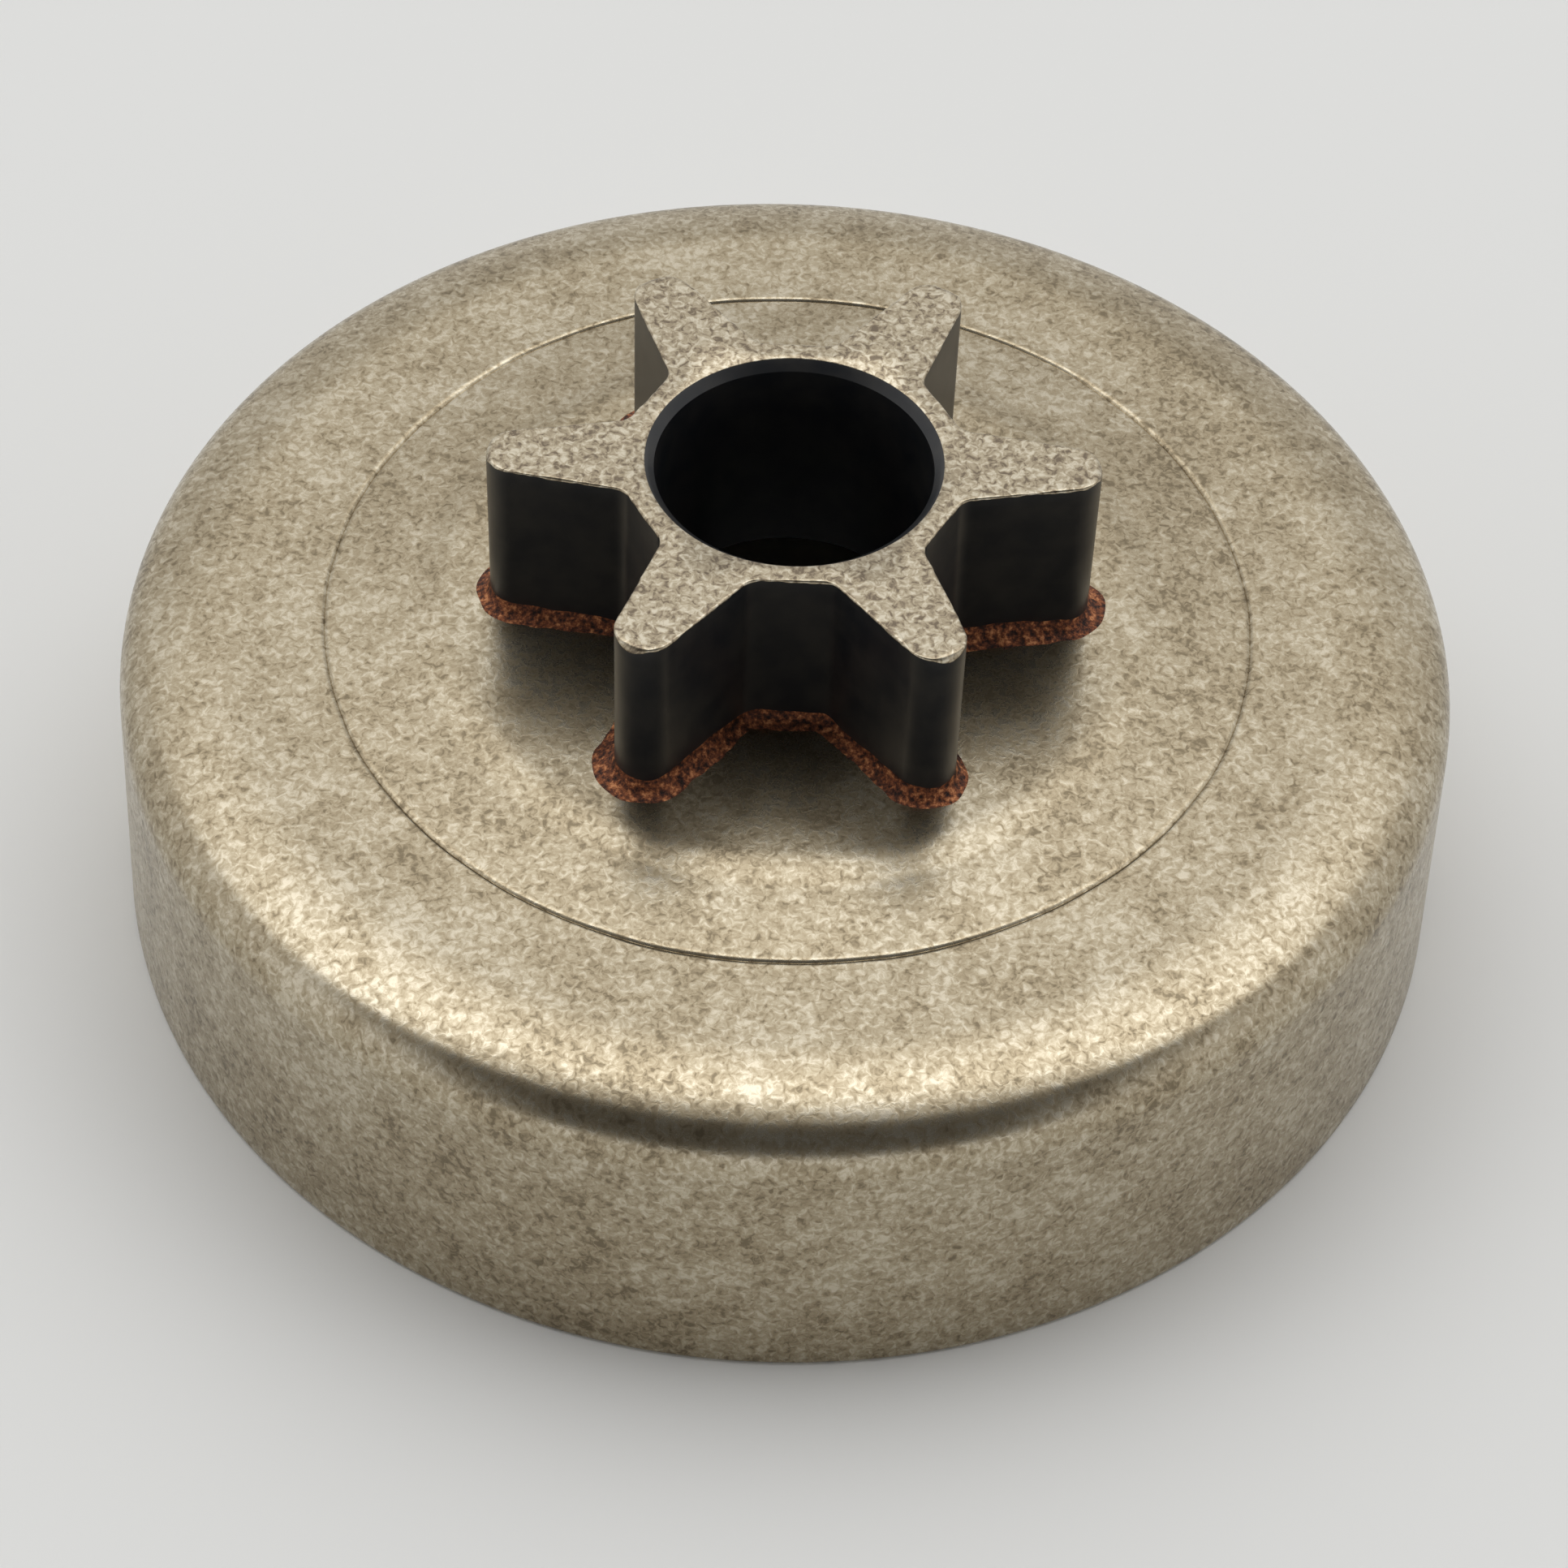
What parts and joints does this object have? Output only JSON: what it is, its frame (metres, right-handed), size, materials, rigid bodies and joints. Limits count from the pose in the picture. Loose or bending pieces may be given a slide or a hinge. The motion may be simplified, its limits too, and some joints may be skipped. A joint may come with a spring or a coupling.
{
  "type": "chainsaw clutch drum",
  "caption": "Drawn steel clutch cup with a spur chain sprocket copper-brazed on its floor and a plain through bore for a needle bearing.",
  "frame": {"origin": "on the shaft axis in the plane of the cup's open rim, on which the part rests", "axes": "+Z along the shaft axis from the open rim to the sprocket's end face, +X through the middle of one tooth"},
  "size_m": [0.0702, 0.0702, 0.0278],
  "materials": {
    "drum_steel": "drawn, furnace-brazed and tumbled steel, satin with fine mottling",
    "sprocket_steel": "turned end face, dark furnace-blued flanks and bore",
    "braze_copper": "rough reddish copper filler, oxidised"
  },
  "bodies": {
    "root": {"drum_cup": "drum_steel", "spur_sprocket": "sprocket_steel", "braze_fillet": "braze_copper"}
  },
  "joints": []
}
